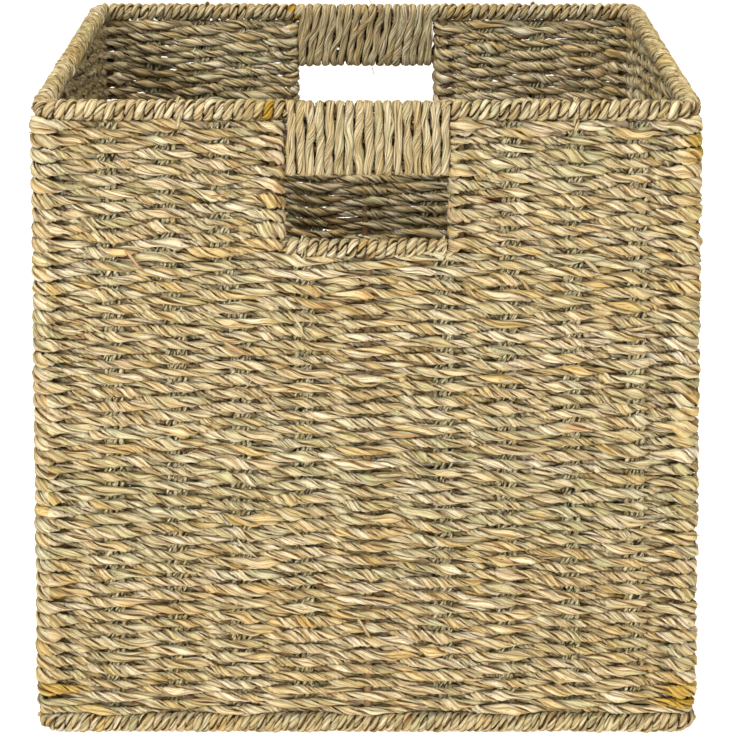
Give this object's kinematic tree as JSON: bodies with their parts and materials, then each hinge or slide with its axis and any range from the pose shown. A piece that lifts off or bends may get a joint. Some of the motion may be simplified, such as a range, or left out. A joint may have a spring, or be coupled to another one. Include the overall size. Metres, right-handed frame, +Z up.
{
  "type": "woven storage basket",
  "caption": "Square open basket of twisted seagrass cord woven on a wire frame, with bound edges and a hand hole with a wrapped handle in the front and back walls.",
  "frame": {"origin": "middle of the square base, at the height of the floor that the basket stands on", "axes": "+Z up, -Y out through the front wall, which has a hand hole; the back wall with the other hand hole is towards +Y, and +X is to the right seen from the front"},
  "size_m": [0.3206, 0.3206, 0.31],
  "materials": {
    "seagrass_weft": "matt twisted two-ply seagrass cord, straw with greenish and ochre streaks",
    "seagrass_warp": "matt thin twisted seagrass cords, greyish green",
    "seagrass_binding": "satin to matt twisted seagrass cord, pale cream straw",
    "frame_wire": "smooth tan lacquered steel wire, satin"
  },
  "bodies": {
    "root": {"back_base_wrap": "seagrass_binding", "back_handhole_wire": "frame_wire", "back_handle_wire": "frame_wire", "back_handle_wrap": "seagrass_binding", "back_rim_wrap_left": "seagrass_binding", "back_rim_wrap_right": "seagrass_binding", "back_sill_wrap": "seagrass_binding", "back_upright_wire": "frame_wire", "back_weave": "seagrass_weft", "base_cross_wire_lower": "frame_wire", "base_cross_wire_upper": "frame_wire", "base_weave": "seagrass_weft", "base_wire": "frame_wire", "corner_post_back_left": "frame_wire", "corner_post_back_right": "frame_wire", "corner_post_front_left": "frame_wire", "corner_post_front_right": "frame_wire", "cross_warp_1": "seagrass_warp", "cross_warp_2": "seagrass_warp", "cross_warp_3": "seagrass_warp", "cross_warp_4": "seagrass_warp", "cross_warp_5": "seagrass_warp", "cross_warp_6": "seagrass_warp", "cross_warp_7": "seagrass_warp", "cross_warp_8": "seagrass_warp", "front_base_wrap": "seagrass_binding", "front_handhole_wire": "frame_wire", "front_handle_wire": "frame_wire", "front_handle_wrap": "seagrass_binding", "front_rim_wrap_left": "seagrass_binding", "front_rim_wrap_right": "seagrass_binding", "front_sill_wrap": "seagrass_binding", "front_upright_wire": "frame_wire", "front_weave": "seagrass_weft", "left_base_wrap": "seagrass_binding", "left_rim_wrap": "seagrass_binding", "left_upright_wire": "frame_wire", "left_weave": "seagrass_weft", "long_warp_1": "seagrass_warp", "long_warp_2": "seagrass_warp", "long_warp_3": "seagrass_warp", "long_warp_4": "seagrass_warp", "long_warp_5": "seagrass_warp", "long_warp_6": "seagrass_warp", "long_warp_7": "seagrass_warp", "long_warp_8": "seagrass_warp", "right_base_wrap": "seagrass_binding", "right_rim_wrap": "seagrass_binding", "right_upright_wire": "frame_wire", "right_weave": "seagrass_weft", "rim_wire": "frame_wire"}
  },
  "joints": []
}
